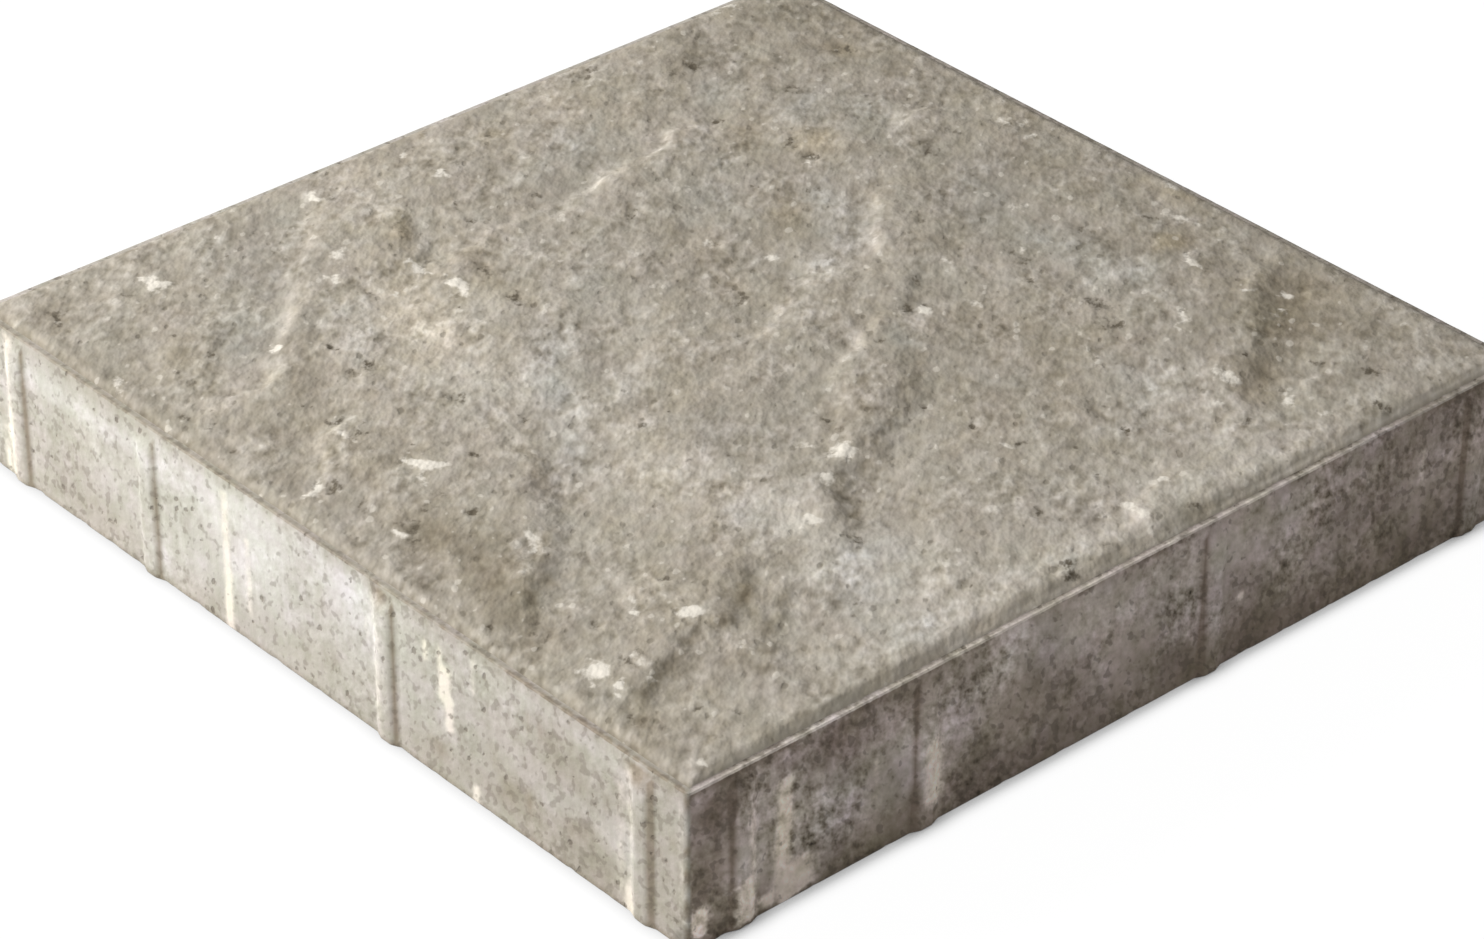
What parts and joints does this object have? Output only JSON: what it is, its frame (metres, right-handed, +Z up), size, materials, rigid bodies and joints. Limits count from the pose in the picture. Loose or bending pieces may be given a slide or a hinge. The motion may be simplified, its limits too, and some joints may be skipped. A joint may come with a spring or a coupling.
{
  "type": "paving slab",
  "caption": "Square riven-faced concrete paving slab with a narrow moulded rim and low upright spacer ribs on its sides.",
  "frame": {"origin": "middle of the bed face, the flat underside that the slab lies on", "axes": "+Z up through the thickness, from the bed face to the riven face; X and Y square to the sides; each side's row of ribs runs the same way round seen from above"},
  "size_m": [0.4, 0.4, 0.0688],
  "materials": {
    "concrete": "matt, riven top face and moulded sides"
  },
  "bodies": {
    "root": {"slab": "concrete"}
  },
  "joints": []
}
